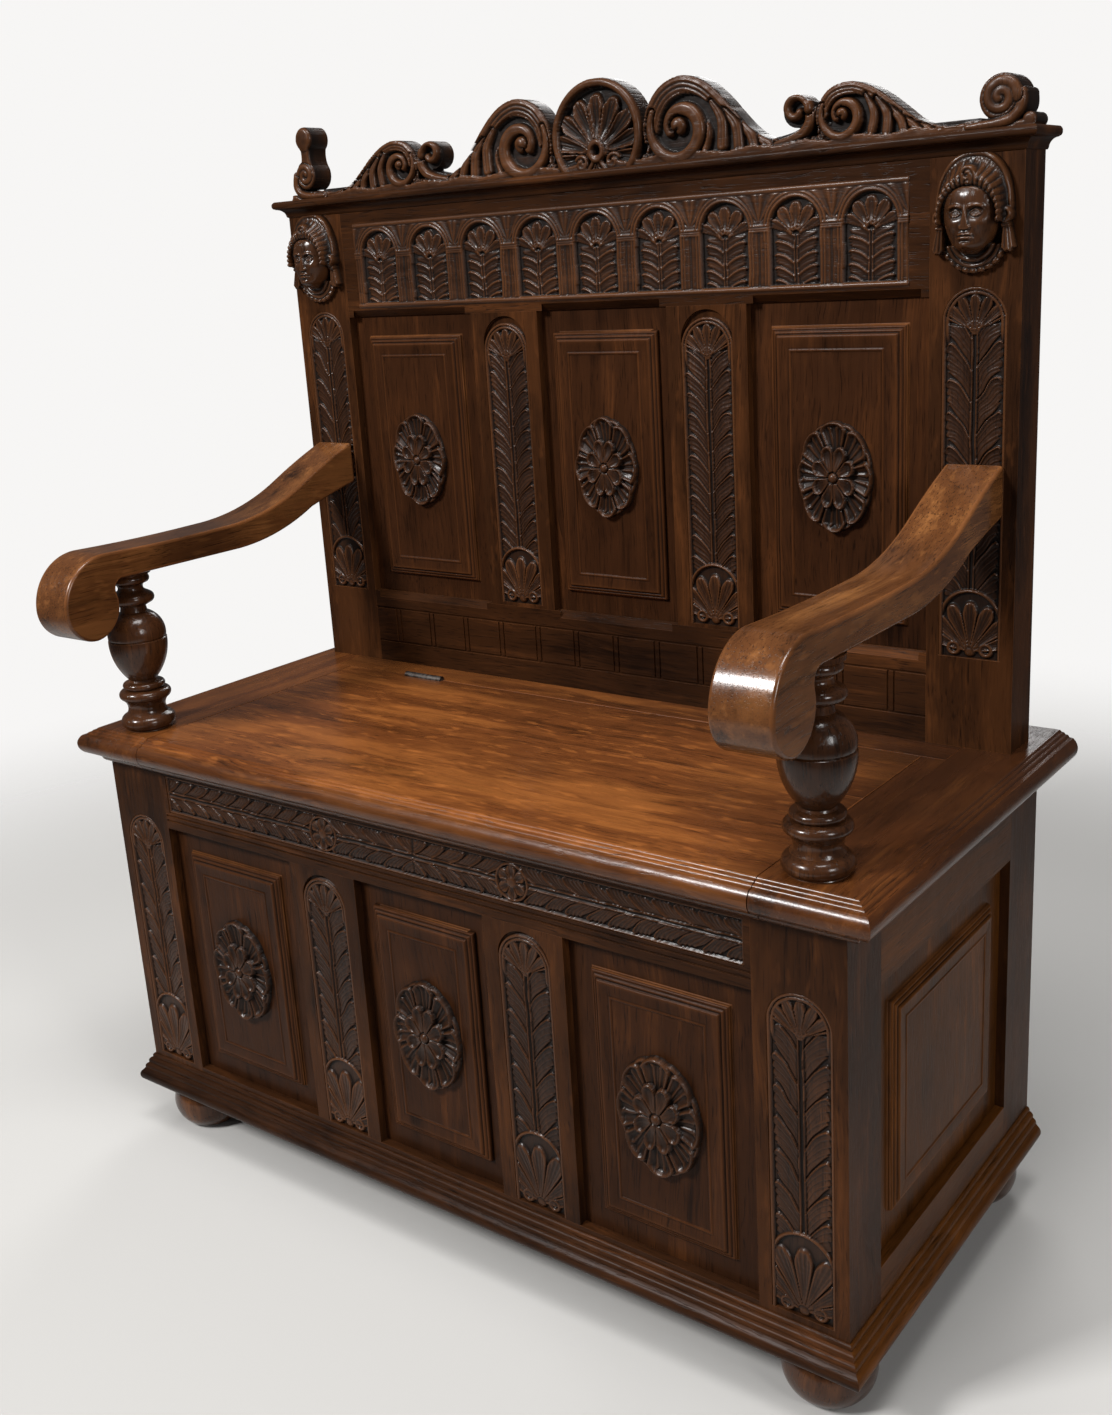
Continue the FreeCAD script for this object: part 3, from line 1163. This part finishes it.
# Scroll at each end of the cresting; the left one carries a ball on a neck
for hand, side, roll in (("left", -1, "finial_left_roll"), ("right", 1, "finial_roll")):
    centre = "%d * %s" % (side, finialPlace)
    near = "%s - 3" % crestFront
    level = "%s + finial_lift" % crestFoot
    pieces = [roundel("finial_roll_" + hand, roll, "finial_thick", (centre, near, level))]
    foot = newBody("finial_foot_" + hand)
    inner, outer = finialPlace + " - 15", backHalf + " - 4"
    outline = [(inner, crestFoot), (outer, crestFoot), (outer, "%s + 6" % crestFoot, "9", -1),
               (finialPlace + " + 13", "%s + 14" % crestFoot),
               ("%s + %s * 0.8" % (finialPlace, roll), level),
               (finialPlace + " - 2", "%s - %s * 0.4" % (level, roll)),
               (inner, "%s + crest_base_high" % crestFoot)]
    if side < 0:
        outline = [("-(%s)" % point[0],) + tuple(point[1:3]) + ((-point[3],) if len(point) > 3 else ())
                   for point in outline]
    sketch = drawn(foot, "finial_outline_" + hand, "XZ_Plane", outline, "-(%s)" % near)
    padded(foot, "finial_run_" + hand, sketch, "finial_thick", backwards=True)
    pieces.append(foot)
    if hand == "left":
        pieces.append(roundel("finial_ball_round", "finial_ball", "finial_thick - 6",
                              (centre, "%s + 3" % near, "%s + finial_ball_lift" % crestFoot)))
        pieces.append(block("finial_neck_block", ("%s - finial_neck_half" % centre, "%s + 5" % near, level),
                            ("%s + finial_neck_half" % centre, "%s + finial_thick - 5" % near,
                             "%s + finial_ball_lift" % crestFoot)))
    eye = doc.addObject("Part::Cut", "finial_eye_" + hand)
    eye.Base = roundel("finial_eye_outer_" + hand, "%s * 0.72" % roll, "relief_step",
                       (centre, "%s - 1" % near, level))
    eye.Tool = roundel("finial_eye_inner_" + hand, "%s * 0.5" % roll, "relief_step + 2",
                       ("%s - %d" % (centre, 2 * side), "%s - 2" % near, level))
    worked("finial_" + hand, pieces, [eye])


def ovalFlower(wide, high, petals, share, start):
    """Outline of a ring of round petals on an oval, as corners joined by arcs."""
    outline = []
    for index in range(petals):
        turn = 360.0 / petals * index + start
        outline.append(("%s / 2 * %s * cos(%.3f)" % (wide, share, turn),
                        "%s / 2 * %s * sin(%.3f)" % (high, share, turn),
                        "%s * %s * %.3f" % (high, share, 1.8 / petals), -1))
    return outline


def rosette(name, place, scale):
    """An oval flower in two tiers of petals round a bud, on the face of a raised panel."""
    body = newBody(name)
    wide, high = "rosette_wide * %s" % scale, "rosette_high * %s" % scale
    for tier, (share, thick, petals, start) in enumerate((("0.86", "rosette_thick * 0.5", 10, 0),
                                                          ("0.5", "rosette_thick * 0.8", 8, 22.5))):
        sketch = drawn(body, "%s_tier_%d" % (name, tier), "XZ_Plane",
                       ovalFlower(wide, high, petals, share, start))
        padded(body, "%s_petals_%d" % (name, tier), sketch, thick)
    bud = [("rosette_bud", "0", "rosette_bud", -1), ("0", "rosette_bud", "rosette_bud", -1),
           ("-(rosette_bud)", "0", "rosette_bud", -1), ("0", "-(rosette_bud)", "rosette_bud", -1)]
    sketch = drawn(body, name + "_bud_outline", "XZ_Plane", bud)
    padded(body, name + "_bud", sketch, "rosette_thick")
    return seat(body, place)


fieldFront = "%s + groove_set + fit_gap - field_lift - field_rise"
bayCentres = (("left", "-(%s + %s) / 2"), ("centre", "0 * (%s + %s)"), ("right", "(%s + %s) / 2"))
for label, front, inner, foot, head, scale in (
        ("front_rosettes", caseFront, postInner, openingFoot, openingHead, "1"),
        ("back_rosettes", backFront, stileInner, backOpenFoot, backOpenHead, "back_rosette_scale")):
    flowers = doc.addObject("Part::Compound", label + "_set")
    flowers.Links = [rosette("%s_%s" % (label, hand),
                             (middle % (muntinOut, inner), fieldFront % front,
                              "(%s + %s) / 2" % (foot, head)), scale)
                     for hand, middle in bayCentres]
    keep(label, flowers)

# Carved heads on the stiles: a round ground, a collar and the plain egg of the head
maskLevel = "(%s - mask_drop - mask_high / 2)" % corniceFoot
for hand, side in sideWays:
    label = "mask_" + hand
    centre = "%d * (%s + %s) / 2" % (side, stileInner, backHalf)
    ground = roundel(label + "_ground", "mask_wide / 2", "mask_disc_thick",
                     (centre, "%s - mask_disc_thick" % backFront,
                      "%s + mask_high / 2 - mask_wide / 2" % maskLevel))
    collar = roundel(label + "_collar", "mask_wide * 0.4", "mask_disc_thick + 1",
                     (centre, "%s - mask_disc_thick - 1" % backFront,
                      "%s - mask_high / 2 + mask_wide * 0.4" % maskLevel))
    egg = doc.addObject("Part::Ellipsoid", label + "_head")
    for size, text in (("Radius1", "mask_head_high"), ("Radius2", "mask_head_wide"),
                       ("Radius3", "mask_depth")):
        egg.setExpression(size, bound(text))
    seat(egg, (centre, backFront, "%s + 3" % maskLevel))
    behind = block(label + "_behind", ("%s - 60" % centre, backFront, "%s - 90" % maskLevel),
                   ("%s + 60" % centre, "%s + 60" % backFront, "%s + 90" % maskLevel))
    worked(label, [ground, collar, egg], [behind])

doc.recompute()
for thing in doc.Objects:
    for state in ("Invalid", "Error"):
        if state in thing.State:
            raise RuntimeError("%s is %s" % (thing.Name, state))
os.makedirs("parts", exist_ok=True)
for label, piece in nodes.items():
    shape = piece.Shape
    if shape.isNull() or not shape.isValid() or not shape.Solids:
        raise RuntimeError("%s has no valid solid" % label)
for label, piece in nodes.items():
    piece.Shape.exportStep("parts/%s.step" % label)
print("%d sub-parts written" % len(nodes))
